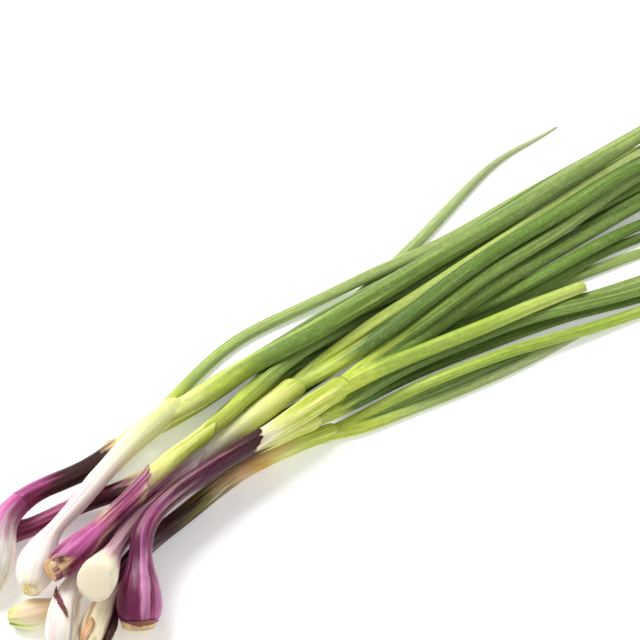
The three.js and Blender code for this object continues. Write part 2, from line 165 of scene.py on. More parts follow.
# The tone of each leaf, and about how many millimetres its pale root takes to turn to that tone. The deep and
# dusky tones are partly each leaf's own green and partly painted shade, given to leaves that lie in shade
# under others.
LEAF_TONES = {
    "a_1": ("light", 40), "a_2": ("light", 60), "a_3": ("deep", 50),
    "b_1": ("middle", 60), "b_2": ("fresh", 62), "b_3": ("deep", 60),
    "c_1": ("grey", 60), "c_2": ("deep", 60), "c_3": ("deep", 90),
    "d_1": ("deep", 44), "d_2": ("middle", 56), "d_3": ("deep", 60),
    "e_1": ("deep", 30), "e_2": ("middle", 30), "e_3": ("fresh", 40),
    "f_1": ("dusky", 36), "f_2": ("fresh", 50), "f_3": ("bright", 34),
    "g_1": ("pale", 62), "g_2": ("deep", 50), "g_3": ("deep", 60),
    "i_1": ("bright", 50), "i_2": ("dusky", 30), "i_3": ("grey", 50),
    "k_1": ("fresh", 70), "k_2": ("deep", 70),
}
# The colours along a leaf, from where its root has faded, and those of its streaks
TONES = {
    "bright": (("spring_green", "spring_green", "pear"), ("pear", "pear", "straw")),
    "light": (("sage", "sage", "sage"), ("spring_green", "moss", "ash")),
    "pale": (("pear", "sage", "sage"), ("spring_green", "pear", "ash")),
    "fresh": (("leaf_green", "moss", "sage"), ("spring_green", "sage", "pear")),
    "middle": (("moss", "leaf_green", "moss"), ("deep_green", "sage", "sage")),
    "grey": (("sage", "sage", "ash"), ("pear", "ash", "ash")),
    "deep": (("deep_green", "leaf_green", "deep_green"), ("leaf_green", "moss", "leaf_green")),
    "dusky": (("leaf_green", "moss", "deep_green"), ("deep_green", "deep_green", "leaf_green")),
}
# Root ends: half width and height in millimetres, by how many more the upper side is cut back, where on the
# noise the spots of the roots end, how many root stubs are left, and the colours of spots, cork and rim
ROOT_ENDS = {
    "a": (4.2, 1.2, 0.5, 0.5, 22, "bark", "amber", "cream"),
    "b": (4.3, 2.4, 0.8, 0.32, 4, "amber", "wheat", "cream"),
    "c": (3.4, 1.2, 0, 0.5, 22, "bark", "amber", "cream"),
    "d": (4.6, 1.6, 0.5, 0.36, 12, "amber", "peach", "tan"),
    "e": (9.0, 1.5, 6.5, 0.30, 0, "wheat", "cream", "cream"),
    "f": (7.8, 1.8, 0, 0.36, 0, "wheat", "tan", "tan"),
    "g": (3.4, 1.2, 0, 0.5, 20, "bark", "amber", "cream"),
    "i": (3.8, 1.2, 0.5, 0.5, 20, "bark", "amber", "cream"),
    "k": (3.2, 2.2, 0, 0.32, 3, "olive", "wheat", "pale_green"),
}
# Scraps of torn, dry skin: the stem that each lies on, the millimetres and degrees of turn that it starts and
# ends at, its width and how far its ends curl up in millimetres, and its colours
SCRAPS = (
    ("g", 29, 146, 18, 204, 2.0, 0.9, ("umber", "wine", "bark")),
    ("g", 31, 132, 25, 152, 1.8, 0.7, ("umber", "bark", "wine")),
    ("i", 3, 236, 30, 250, 4.2, 0.5, ("maroon", "umber", "maroon")),
    ("i", 2, 140, 14, 172, 4.0, 0.5, ("tan", "peach", "bark")),
    ("d", 4, 178, 9, 214, 2.4, 0.5, ("bark", "umber", "peach")),
    ("f", 4, 150, 4, 250, 2.2, 0.3, ("wine", "bark", "rose")),
    ("k", 22, 150, 30, 204, 3.0, 0.3, ("tan", "sand", "wheat")),
)


def linear(code):
    """An sRGB hex value as the linear numbers that a shader takes."""
    shares = [int(code[i:i + 2], 16) / 255 for i in (1, 3, 5)]
    return [c / 12.92 if c <= 0.04045 else ((c + 0.055) / 1.055) ** 2.4 for c in shares]


def colour(label, words, code):
    return FloatVectorProperty(
        name=label, description=words, subtype="COLOR", size=3, min=0, max=1, default=linear(code)
    )


def length(label, words, millimetres):
    return FloatProperty(name=label, description=words, unit="LENGTH", min=0, default=millimetres * MM)


class OnionColours(bpy.types.PropertyGroup):
    white: colour("White", "Fresh bulbs and lower stems", "#f8f1e8")
    cream: colour("Cream", "Bulb ends", "#f1e5c8")
    ivory: colour("Ivory", "Upper white stems", "#f0efc2")
    sand: colour("Sand", "Creamy bulbs", "#e2cfa0")
    # Painted shade on the shaded side of a white bulb
    shade_grey: colour("Dove", "Bulbs on their shaded side", "#d8ccc2")
    # Bare flesh, root ends and scraps, and also painted shade where one bulb lies against another
    peach: colour("Peach", "Flesh between two bulbs", "#e6b288")
    blush: colour("Blush", "White flesh under a thin purple skin", "#ecc6cd")
    # Painted highlight on thin purple skin, used on the tops of bulbs, necks and sheaths
    highlight_pink: colour("Orchid", "Shining thin purple skin", "#e398c2")
    # Thin purple skin, and also painted highlights on the bulb of d and the neck of f
    lilac_and_highlight: colour("Lilac", "Thin, shiny purple skin", "#c566a0")
    rose: colour("Rose", "Thin skin on a neck", "#b3597c")
    magenta: colour("Magenta", "Full purple skin", "#8d2a60")
    wine: colour("Wine", "Red purple skin", "#6b1f3c")
    plum: colour("Plum", "Old purple skin", "#5c2640")
    mauve: colour("Mauve", "Grey purple skin", "#ad8890")
    maroon: colour("Maroon", "Dark skin over green", "#45181f")
    umber: colour("Umber", "Nearly black skin over green", "#38201e")
    olive: colour("Olive", "Brown green skin", "#7f7c38")
    bark: colour("Bark", "Dead roots", "#8a5c33")
    tan: colour("Tan", "Dry skin and root plates", "#d3b588")
    amber: colour("Amber", "Withered edges", "#cfa04a")
    wheat: colour("Wheat", "Corky root plates", "#e6cb80")
    straw: colour("Straw", "Yellow stems below the leaves", "#e2e388")
    pale_green: colour("Pale green", "Stems below the leaves", "#dde3a0")
    yellow_green: colour("Yellow green", "Leaf roots", "#bccb4a")
    pear: colour("Pear", "The brightest leaves", "#bccc66")
    spring_green: colour("Spring green", "Bright leaves", "#9fb845")
    sage: colour("Sage", "Pale leaves with wax bloom", "#a0b46a")
    ash: colour("Ash", "Leaf tips with wax bloom", "#b6c093")
    moss: colour("Moss", "Leaves in between", "#7f984c")
    leaf_green: colour("Leaf green", "Most leaves", "#6d8a36")
    deep_green: colour("Deep green", "Dark leaves", "#4c6822")
    bloom: colour("Bloom", "Specks of wax on leaves", "#cbd8aa")


class OnionSizes(bpy.types.PropertyGroup):
    stem_sides: IntProperty(name="Stem sides", description="Squares round a stem", default=48, min=8)
    leaf_sides: IntProperty(name="Leaf sides", description="Squares round a leaf", default=32, min=8)
    stem_step: length("Stem step", "Length of a square along a stem", 1.2)
    leaf_step: length("Leaf step", "Length of a square along a leaf", 2.4)
    rib: length("Rib", "Height of the ribs along a bulb", 0.07)
    slant: length("Slant", "How far the rim slants where a stem's leaves part", 10)
    skin: length("Skin", "Thickness of a loose sheath", 0.3)
    stub: length("Root stub", "Length of the longest trimmed roots", 2.0)
    held_top: length("Held top", "Length of a stem's top that keeps its width", 16)
    crotch: length("Crotch", "How far below a stem's top its leaves part", 15)


class StageSettings(bpy.types.PropertyGroup):
    floor: colour("Floor", "Matte white table", "#fbfbfa")
    key: FloatProperty(name="Key light", description="Power of the key light", default=36, unit="POWER")
    fill: FloatProperty(name="Fill light", description="Power of the fill light", default=3.6, unit="POWER")
    sky: FloatProperty(name="Sky", description="Strength of the white surroundings", default=0.52)
    glow: FloatProperty(name="Glow", description="Light that the table gives off", default=0.24)


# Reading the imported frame

STEP = 2 * MM  # between the sections that a stem or leaf is read at
NEAR = 15 * MM  # what lies further than this from a section's centre isn't part of it
UNEVEN = 0.05 * MM  # how far from one plane the triangles of a root plate may lie
BULB_DEPTHS = (1, 3, 5, 7)  # millimetres under the root plate at which a bulb is read along it
BULB_READ = 8 * MM  # from here on a stem is read along its way
TEN_SIDED = math.sin(math.radians(72))  # the width of a section of ten sides, as a share of its thickness
FREE_LEAF = 0.85  # a leaf is free of its stem where it first has this share of its width
ROOT_WIDTH, ROOT_THICKNESS = 0.88, 0.92  # of a leaf in its stem: shares of the stem's width and of its own


def section(corners, centre, ahead):
    """The points where a plane cuts the triangles, near its centre."""
    heights = (corners - centre) @ ahead
    found = []
    for i, j in ((0, 1), (1, 2), (2, 0)):
        cut = (heights[:, i] > 0) != (heights[:, j] > 0)
        share = heights[cut, i] / (heights[cut, i] - heights[cut, j])
        found.append(corners[cut, i] + share[:, None] * (corners[cut, j] - corners[cut, i]))
    points = np.concatenate(found)
    return points[np.linalg.norm(points - centre, axis=1) < NEAR]


def unit(vectors):
    return vectors / np.linalg.norm(vectors, axis=-1, keepdims=True)


def across_and_above(ahead):
    across = unit(np.cross((0, 0, 1), ahead))
    return across, np.cross(ahead, across)


def middle_of(points, ahead):
    """The middle of a section, with its half width and half thickness."""
    across, above = across_and_above(ahead)
    sides, ups = points @ across, points @ above
    origin = ahead * (points @ ahead).mean()
    middle = origin + across * (sides.max() + sides.min()) / 2 + above * (ups.max() + ups.min()) / 2
    return middle, np.ptp(sides) / 2, np.ptp(ups) / 2


def walk(corners, start, ahead):
    """Sections of a bent tube from its middle to one end, and then the end itself."""
    found = []
    centre = start
    while True:
        guess = centre + ahead * STEP
        points = section(corners, guess, ahead)
        if len(points) < 3:
            break
        middle, side, up = middle_of(points, ahead)
        found.append((middle, side, up))
        ahead = unit(ahead + unit(middle - centre))
        centre = middle
    near = corners.reshape(-1, 3)
    near = near[np.linalg.norm(near - centre, axis=1) < 2 * NEAR]
    found.append((centre + ahead * ((near - centre) @ ahead).max(), 0, 0))
    return found


def smoothed(values, passes):
    """Each value but the first and last is moved towards its neighbours' mean, so many times."""
    values = np.array(values, float)
    for _ in range(passes):
        values[1:-1] = values[:-2] / 4 + values[1:-1] / 2 + values[2:] / 4
    return values


class Way:
    """The centres, half widths and half thicknesses along a stem or a leaf."""

    def __init__(self, centres, sides, ups):
        self.centres, self.sides, self.ups = centres, sides, ups
        gaps = np.linalg.norm(np.diff(centres, axis=0), axis=1)
        self.along = np.concatenate(([0], np.cumsum(gaps)))
        self.length = self.along[-1]

    def centre_at(self, along):
        return np.stack([np.interp(along, self.along, self.centres[:, k]) for k in range(3)], -1)

    def at(self, along):
        """The centre, the direction, the half width and the half thickness at lengths along the way."""
        along = np.asarray(along, float)
        before, after = (self.centre_at(np.clip(along + d, 0, self.length)) for d in (-STEP, STEP))
        side = np.interp(along, self.along, self.sides)
        up = np.interp(along, self.along, self.ups)
        return self.centre_at(along), unit(after - before), side, up


def corners_of(node):
    """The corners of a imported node's triangles."""
    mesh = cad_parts[node].data
    mesh.calc_loop_triangles()
    places = np.empty(len(mesh.vertices) * 3)
    mesh.vertices.foreach_get("co", places)
    order = np.empty(len(mesh.loop_triangles) * 3, int)
    mesh.loop_triangles.foreach_get("vertices", order)
    return places.reshape(-1, 3)[order].reshape(-1, 3, 3)


def read_sections(node):
    """The middles, half widths and half thicknesses of a node's sections, from its root to its tip."""
    corners = corners_of(node)
    low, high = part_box(node)
    ahead = np.array((1.0, 0, 0))
    start = np.array((low + high) / 2)
    heights = (corners - start) @ ahead
    spans = (heights.min(1) < 0) & (heights.max(1) > 0)
    start[1:] = corners[spans].reshape(-1, 3).mean(0)[1:]
    start, side, up = middle_of(section(corners, start, ahead), ahead)
    found = walk(corners, start, -ahead)[::-1] + [(start, side, up)] + walk(corners, start, ahead)
    return [np.array(column) for column in zip(*found)]


def root_plate(corners, end, outward):
    """The middle of the flat root plate at a stem's end, and the direction that it faces."""
    no_area = 1e-15
    facing_out, facing_alike = 0.3, 0.999
    normals = np.cross(corners[:, 1] - corners[:, 0], corners[:, 2] - corners[:, 0])
    areas = np.linalg.norm(normals, axis=1) + no_area
    normals = normals / areas[:, None]
    middles = corners.mean(1)
    near = (np.linalg.norm(middles - end, axis=1) < NEAR) & (normals @ outward > facing_out)

    def level_with(i):
        apart = np.abs((middles - middles[i]) @ normals[i])
        return near & (normals @ normals[i] > facing_alike) & (apart < UNEVEN)

    # of all flat faces there, it is the large one that is made of many triangles
    flat = max(map(level_with, np.flatnonzero(near)), key=lambda face: face.sum() * areas[face].sum())
    weights = areas[flat, None] / areas[flat].sum()
    return (middles[flat] * weights).sum(0), unit((normals[flat] * weights).sum(0))


def read_stem(node):
    """The way of a stem, with the sections of its bulb taken along its root plate. A round section of ten
    sides is a little less wide than it is thick, and the top, which the leaves fill, keeps its width."""
    corners = corners_of(node)
    centres, sides, ups = read_sections(node)
    plate, outward = root_plate(corners, centres[0], unit(centres[4] - centres[8]))
    far = (centres - plate) @ outward < -BULB_READ
    bulb = [
        middle_of(section(corners, plate - outward * depth * MM, outward), -outward) for depth in BULB_DEPTHS
    ]
    firsts = zip((plate, 0, 0), *bulb)
    centres, sides, ups = (
        np.array([*first, *kept[far]]) for first, kept in zip(firsts, (centres, sides, ups))
    )
    radius = np.maximum(sides / TEN_SIDED, ups)
    held = int(bpy.context.scene.onion_sizes.held_top / STEP)
    radius[0], radius[-held:] = radius[1], radius[-held - 1]
    radius = smoothed(radius, 3)
    return Way(smoothed(centres, 10), radius, radius)


def read_leaf(node, stem):
    """The way of a leaf, led back into its stem. Its first sections are dropped, because there the stem and
    the leaves beside it hide a part of it."""
    centres, sides, ups = read_sections(node)
    widths = smoothed(sides, 20)
    first = int(np.argmax(sides > FREE_LEAF * widths[: len(widths) // 2].max()))
    centres = smoothed(centres[first:], 40)

    def widest(values, window=5):
        """The greatest of the values beside each one, smoothed, so that a cut under the leaf doesn't show."""
        return smoothed([values[max(0, i - window):i + window + 1].max() for i in range(len(values))], 40)

    wide, thick = widest(sides[first:]), widest(ups[first:])
    root, ahead, _, _ = stem.at(max(stem.length - bpy.context.scene.onion_sizes.crotch, 0))
    gap = np.linalg.norm(centres[0] - root)
    leaving = unit(centres[3] - centres[0])
    lead = max(2, int(gap / STEP))
    # a cubic curve from the leaves' fork to the first section that is kept
    t = np.linspace(0, 1, lead, endpoint=False)[:, None]
    bend = (
        (2 * t ** 3 - 3 * t ** 2 + 1) * root + (t ** 3 - 2 * t ** 2 + t) * ahead * gap
        + (3 * t ** 2 - 2 * t ** 3) * centres[0] + (t ** 3 - t ** 2) * leaving * gap
    )
    root_half = min(wide[0], ROOT_WIDTH * stem.sides[-1])
    return Way(
        smoothed(np.concatenate((bend, centres)), 12),
        np.concatenate((np.linspace(root_half, wide[0], lead, endpoint=False), wide)),
        np.concatenate((np.linspace(ROOT_THICKNESS * root_half, thick[0], lead, endpoint=False), thick)),
    )


# Modelling

ON_TABLE = 0.02 * MM  # how far over the table the lowest points of a tube lie
SAME_PLACE = 0.004 * MM  # points nearer than this are one
BULB_MIDDLE, BULB_REACH = 14 * MM, 16 * MM  # from the root plate, for the ribs, which are highest there


def finish_piece(name, mesh, material):
    """Makes a bmesh a smooth piece that rides with the bunch."""
    bmesh.ops.recalc_face_normals(mesh, faces=mesh.faces)
    for face in mesh.faces:
        face.smooth = True
    data = bpy.data.meshes.new(name)
    mesh.to_mesh(data)
    mesh.free()
    data.materials.append(material)
    piece = bpy.data.objects.new(name, data)
    bpy.context.scene.collection.objects.link(piece)
    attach(piece, "root")
    return piece


def rolled_sheet(rows, sides):
    """A flat sheet of squares: its uv map runs from 0 to 1 along it, and round it once it is rolled."""
    mesh = bmesh.new()
    mesh.loops.layers.uv.new("skin")
    bmesh.ops.create_grid(mesh, x_segments=rows, y_segments=sides, size=0.5, calc_uvs=True)
    flat = np.array([vertex.co for vertex in mesh.verts])
    return mesh, flat[:, 0] + 0.5, (flat[:, 1] + 0.5) * 2 * math.pi


def place(mesh, points):
    """Moves the vertices of a mesh to points."""
    for vertex, point in zip(mesh.verts, points):
        vertex.co = point


def tube(way, along, turn, side, up):
    """Points round a way, none of them below the table. The turn starts under it and goes by its left."""
    centre, ahead, _, _ = way.at(along)
    across, above = across_and_above(ahead)
    points = centre + across * (np.sin(turn) * side)[:, None] - above * (np.cos(turn) * up)[:, None]
    points[:, 2] = np.maximum(points[:, 2], ON_TABLE)
    return points


def smoothstep(values, low, high):
    t = np.clip((values - low) / (high - low), 0, 1)
    return t * t * (3 - 2 * t)


def close_seams(mesh):
    """Joins the edges of a rolled sheet where they meet, and its ends where they come to a point."""
    bmesh.ops.remove_doubles(mesh, verts=mesh.verts, dist=SAME_PLACE)


def bulb_share(along):
    """How much a place along a stem belongs to its bulb: 1 in its middle, and nearly 0 up the stem."""
    return np.exp(-((along - BULB_MIDDLE) / BULB_REACH) ** 2)


def waves(rng, turn, along, counts, drift):
    """A sum of cosines round and along a tube, each with a phase of its own, between -1 and 1."""
    total = np.zeros_like(turn)
    for count in counts:
        phase, slide = rng.uniform(0, 2 * math.pi), rng.uniform(-drift, drift)
        total += np.cos(count * turn + phase + slide * along)
    return total / len(counts)


# Materials

# The patterns of a skin, each with its size across and along it in millimetres. Real cells are under 0.1 mm
# wide, and are drawn as coarse as it takes for them to show.
RUNS = (2.6, 34)
STREAKS = (1.3, 70)
CELLS = (0.34, 22)
CLOUDS = (1.8, 4.5)
# long thin lines of painted shade, as in creases along a skin
CREASE_SHADE = (1.7, 90)
SHEEN = (1.2, 4.0)
WAX_SPECKS, WAX_PATCHES = (0.5, 2.0), (3.0, 20)


def feed(tree, node, inputs):
    """Gives each input of a node a value or a link."""
    for key, value in inputs.items():
        if isinstance(value, bpy.types.NodeSocket):
            tree.links.new(value, node.inputs[key])
        else:
            node.inputs[key].default_value = value


def add(tree, kind, inputs, **settings):
    """Adds a node with its settings, its values and its links."""
    node = tree.nodes.new(kind)
    for key, value in settings.items():
        setattr(node, key, value)
    feed(tree, node, inputs)
    return node


def new_material(name):
    """A material, its node tree and its shader."""
    material = bpy.data.materials.new(name)
    material.use_nodes = True
    return material, material.node_tree, material.node_tree.nodes["Principled BSDF"]


def named(label):
    """A colour of the palette, as a socket takes it."""
    return (*getattr(bpy.context.scene.onion_colours, label), 1)


def set_stops(ramp, stops):
    """Puts the named colours at their places along a colour ramp."""
    while len(ramp.elements) < len(stops):
        ramp.elements.new(0.5)
    for element, (place_at, label) in zip(ramp.elements, stops):
        element.position = min(1, place_at)
        element.color = named(label)


def mask(tree, *steps):
    """The product of smooth steps. Each has the value that it follows, the two values that it lies between,
    and what it is before and after them."""
    share = 1.0
    for value, low, high, before, after in steps:
        step = add(tree, "ShaderNodeMapRange", {
            "Value": value, "From Min": low, "From Max": high, "To Min": before, "To Max": after,
        }, interpolation_type="SMOOTHSTEP")
        product = add(tree, "ShaderNodeMath", {0: share, 1: step.outputs[0]}, operation="MULTIPLY")
        share = product.outputs[0]
    return share


def skin_space(tree, reach, radius, seed):
    """Places on a skin: millimetres along it, radians round it, and a function that makes noise of a size in
    millimetres."""
    where = add(tree, "ShaderNodeUVMap", {}, uv_map="skin")
    parts = add(tree, "ShaderNodeSeparateXYZ", {"Vector": where.outputs["UV"]})
    along = add(tree, "ShaderNodeMath", {0: parts.outputs["X"], 1: reach}, operation="MULTIPLY")
    turn = add(tree, "ShaderNodeMath", {0: parts.outputs["Y"], 1: 2 * math.pi}, operation="MULTIPLY")
    sine = add(tree, "ShaderNodeMath", {0: turn.outputs[0]}, operation="SINE")
    cosine = add(tree, "ShaderNodeMath", {0: turn.outputs[0]}, operation="COSINE")
    ring = add(tree, "ShaderNodeCombineXYZ", {
        "X": sine.outputs[0], "Y": cosine.outputs[0], "Z": along.outputs[0],
    })

    def pattern(size, detail=3.0):
        wide, long = size
        fitted = add(tree, "ShaderNodeMapping", {
            "Vector": ring.outputs[0], "Location": (seed, seed * 1.7, seed * 2.3),
            "Scale": (radius / wide, radius / wide, 1 / long),
        })
        noise = add(tree, "ShaderNodeTexNoise", {
            "Vector": fitted.outputs[0], "Scale": 1.0, "Detail": detail, "Roughness": 0.55,
        })
        return noise.outputs["Fac"]

    return along.outputs[0], turn.outputs[0], pattern


def plant_skin(name, bands, streaks, reach, seed, radius, gloss, ragged=16, vein=0.1, marks=(), bloom=0.0,
               streaky=(0.47, 0.6)):
    """Living onion skin, wet and full of water: long cells show as fine lines, the colours run into each
    other in long ragged streaks, light goes a little way in, and a thin wax makes a soft sheen. On leaves the
    wax also lies in pale specks."""
    material, tree, shader = new_material(name)
    along, turn, pattern = skin_space(tree, reach, radius, seed)

    # the colours along it, moved to and fro by long runs
    shift = add(tree, "ShaderNodeMath", {0: pattern(RUNS), 1: 0.5}, operation="SUBTRACT").outputs[0]
    moved = add(tree, "ShaderNodeMath", {0: shift, 1: 2.0 * ragged, 2: along}, operation="MULTIPLY_ADD")
    moved = moved.outputs[0]
    share = add(tree, "ShaderNodeMath", {0: moved, 1: reach}, operation="DIVIDE").outputs[0]
    tones = []
    for colours in (bands, streaks):
        ramp = add(tree, "ShaderNodeValToRGB", {"Fac": share})
        set_stops(ramp.color_ramp, [(millimetres / reach, label) for millimetres, label in colours])
        tones.append(ramp.outputs["Color"])
    tone, streak_tone = tones

    # what lies over them: streaks, marks and specks of wax
    layers = [(mask(tree, (pattern(STREAKS, 2.0), *streaky, 0, 1)), streak_tone)]
    for centre, half, start, end, label, strength in marks:
        wander = add(tree, "ShaderNodeMath", {0: shift, 1: 1.6, 2: turn}, operation="MULTIPLY_ADD").outputs[0]
        away = add(tree, "ShaderNodeMath", {0: wander, 1: math.radians(centre)}, operation="SUBTRACT")
        facing = add(tree, "ShaderNodeMath", {0: away.outputs[0]}, operation="COSINE").outputs[0]
        edge, full = (math.cos(math.radians(half * share_of_it)) for share_of_it in (1.5, 0.4))
        soft = min(8, (end - start) / 3)
        layers.append((mask(
            tree, (moved, start - soft, start + soft, 0, 1), (moved, end - soft, end + soft, 1, 0),
            (facing, edge, full, 0, strength),
        ), named(label)))
    if bloom:
        layers.append((mask(
            tree, (pattern(WAX_SPECKS, 2.0), 0.52, 0.68, 0, bloom), (pattern(WAX_PATCHES), 0.35, 0.6, 0, 1),
        ), named("bloom")))
    for share, colour_there in layers:
        layered = add(
            tree, "ShaderNodeMix", {"Factor": share, "A": tone, "B": colour_there}, data_type="RGBA",
        )
        tone = layered.outputs["Result"]

    # cells and clouds darken it, long thin lines darken it further as painted shade in creases, and the cells
    # stand out a little
    cells = pattern(CELLS, 2.0)
    depth = mask(
        tree, (cells, 0.3, 0.7, 1 - vein, 1 + vein),
        (pattern(CLOUDS, 4.0), 0.3, 0.7, 1 - 0.7 * vein, 1 + 0.7 * vein),
        (pattern(CREASE_SHADE, 1.0), 0.36, 0.6, 1 - 1.6 * vein, 1.03),
    )
    skin = add(tree, "ShaderNodeVectorMath", {0: tone, 1: depth}, operation="MULTIPLY")
    relief = add(tree, "ShaderNodeBump", {"Height": cells, "Strength": 0.3, "Distance": 0.22 * MM})
    feed(tree, shader, {
        "Base Color": skin.outputs[0],
        "Roughness": mask(tree, (pattern(SHEEN), 0.3, 0.7, gloss - 0.06, gloss + 0.1)),
        "Normal": relief.outputs[0],
        "IOR": 1.4,
        "Specular IOR Level": 0.4,
        "Subsurface Weight": 0.12,
        "Subsurface Radius": (1.0, 0.7, 0.4),
        "Subsurface Scale": 2.5 * MM,
    })
    return material


def cut_root(name, seed, low, labels):
    """A trimmed root end: corky, dry and matte, with spots where the roots were."""
    material, tree, shader = new_material(name)
    where = add(tree, "ShaderNodeTexCoord", {})
    fitted = add(tree, "ShaderNodeMapping", {
        "Vector": where.outputs["Object"], "Location": (seed, seed, 0), "Scale": (1 / MM, 1 / MM, 1 / MM),
    })
    spots_in_a_millimetre = 0.35
    spots = add(tree, "ShaderNodeTexNoise", {
        "Vector": fitted.outputs[0], "Scale": spots_in_a_millimetre, "Detail": 5.0,
    })
    tone = add(tree, "ShaderNodeValToRGB", {"Fac": spots.outputs["Fac"]})
    set_stops(tone.color_ramp, list(zip((low, low + 0.09, low + 0.2), labels)))
    relief = add(tree, "ShaderNodeBump", {
        "Height": spots.outputs["Fac"], "Strength": 0.3, "Distance": 0.4 * MM,
    })
    feed(tree, shader, {
        "Base Color": tone.outputs["Color"],
        "Normal": relief.outputs[0],
        "Roughness": 0.6,
        "Subsurface Weight": 0.1,
        "Subsurface Radius": (1.0, 0.8, 0.5),
        "Subsurface Scale": 2.0 * MM,
    })
    return material


def white_board():
    """Matte white board that glows a little though it is no lamp, which lightens the shadows on it, with no
    pattern of its own.
    """
    settings = bpy.context.scene.onion_stage
    material, tree, shader = new_material("matte_white_board")
    feed(tree, shader, {
        "Base Color": (*settings.floor, 1),
        "Emission Color": (1, 1, 1, 1),
        "Emission Strength": settings.glow,
        "Roughness": 0.9,
    })
    return material


# Operators

WAYS = {}  # the way of each stem, which its sheath, root end, scraps and leaves follow


def letter_of(node):
    return node.split("_")[1]


class ONION_OT_stage(bpy.types.Operator):
    """Floor, lights and the camera at the photograph's angle"""
    bl_idname = "onion.stage"
    bl_label = "Stage"

    def execute(self, context):
        settings = context.scene.onion_stage
        mesh = bmesh.new()
        bmesh.ops.create_grid(mesh, x_segments=1, y_segments=1, size=6)
        data = bpy.data.meshes.new("floor")
        mesh.to_mesh(data)
        mesh.free()
        data.materials.append(white_board())
        floor = bpy.data.objects.new("floor", data)
        context.scene.collection.objects.link(floor)

        # The camera looks at a point on the table from 52 degrees up, across the bunch from its root end.
        elevation, bearing, distance = math.radians(52), math.radians(-40), 1.0
        lens, sensor = 112.5, 36
        target = Vector((-33.6, 53.5, 0)) * MM
        back = Vector((
            math.sin(bearing) * math.cos(elevation), -math.cos(bearing) * math.cos(elevation),
            math.sin(elevation),
        ))
        camera = bpy.data.objects.new("camera", bpy.data.cameras.new("camera"))
        camera.data.lens = lens
        camera.data.sensor_width = sensor
        camera.location = target + back * distance
        camera.rotation_euler = (-back).to_track_quat("-Z", "Y").to_euler()
        context.scene.collection.objects.link(camera)
        context.scene.camera = camera

        right = Vector((math.cos(bearing), math.sin(bearing), 0))
        away = Vector((-math.sin(bearing), math.cos(bearing), 0))
        for name, place_at, size, power in (
            ("key", -0.75 * right + 0.7 * away + Vector((0, 0, 1.5)), 1.1, settings.key),
            ("fill", 0.9 * right - 0.9 * away + Vector((0, 0, 1.2)), 1.6, settings.fill),
        ):
            light = bpy.data.objects.new(name, bpy.data.lights.new(name, "AREA"))
            light.data.size = size
            light.data.energy = power
            light.location = target + place_at
            light.rotation_euler = (-place_at).to_track_quat("-Z", "Y").to_euler()
            context.scene.collection.objects.link(light)
        world = bpy.data.worlds.new("studio")
        world.use_nodes = True
        background = world.node_tree.nodes["Background"]
        feed(world.node_tree, background, {"Color": (1, 1, 1, 1), "Strength": settings.sky})
        context.scene.world = world
        context.scene.view_settings.view_transform = "Standard"
        return {"FINISHED"}


class ONION_OT_stems(bpy.types.Operator):
    """Stems with their bulbs, each open at a slanting rim where its leaves part"""
    bl_idname = "onion.stems"
    bl_label = "Stems"

    def execute(self, context):
        sizes = context.scene.onion_sizes
        below_rim = np.array((1.0, 4.0)) * MM  # how far under the rim the last two rows lie
        lip_reach, slant_reach, trim_reach = 6 * MM, 30 * MM, 14 * MM
        wider_lip, turned_in, lumpy = 0.04, 0.86, 0.03  # shares of the stem's radius
        under_sheath, past_sheath = 0.4 * MM, 4  # a stem is thinner under its sheath, to 4 mm from its end
        for number, node in enumerate(STEMS):
            letter = letter_of(node)
            way = WAYS[node] = read_stem(node)
            rng = np.random.default_rng(100 + number)
            rows = int(way.length / sizes.stem_step)
            mesh, share, turn = rolled_sheet(rows, sizes.stem_sides)
            row = np.rint(share * rows).astype(int)
            # the last two rows turn in behind the rim and close the stem between its leaves
            stations = np.linspace(0, way.length, rows - 1)
            stations[1] = 0.2 * MM
            stations = np.concatenate((stations, way.length - below_rim))
            along = stations[row]
            _, _, side, up = way.at(along)
            lip = 1 + wider_lip * smoothstep(along, way.length - lip_reach, way.length)
            side, up = side * lip, up * lip
            # the rim slants to one side, and the root end is cut back at its top
            rim = rng.uniform(0.7, 1.3) * math.pi
            slant = sizes.slant * smoothstep(along, way.length - slant_reach, way.length)
            along = along - slant * (0.5 - 0.5 * np.cos(turn - rim))
            trim = ROOT_ENDS[letter][2] * MM * (1 - smoothstep(along, 0, trim_reach))
            along = along + trim * np.where(row == 0, 0.5, 0.5 - 0.5 * np.cos(turn))
            ribs = sizes.rib * (0.3 + bulb_share(along)) * waves(rng, turn, along, (11, 17, 23), 8)
            lumps = side * lumpy * waves(rng, turn, along, (1, 2, 3), 60)
            swell = ribs + lumps
            if letter in SHEATHS:
                start, end, _, _ = SHEATHS[letter][0]
                covered = (along > start * MM) & (along < (end - past_sheath) * MM)
                swell = swell - np.where(covered, under_sheath, 0)
            inward = np.where(row == rows - 1, turned_in, 1.0)
            closed = (row == 0) | (row == rows)
            side = np.where(closed, 0, (side + swell) * inward)
            up = np.where(closed, 0, (up + swell) * inward)
            place(mesh, tube(way, along, turn, side, up))
            close_seams(mesh)
            material = plant_skin(
                f"onion_{letter}_stem_skin", *STEM_BANDS[letter], way.length / MM, 3.1 * number, 4.5, 0.36,
                vein=0.05 if letter in SMOOTH_STEMS else 0.12,
                marks=() if letter in SHEATHED_STEMS else MARKS.get(letter, ()),
            )
            piece = finish_piece(f"stem_{letter}", mesh, material)
            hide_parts(node)
        return {"FINISHED"}


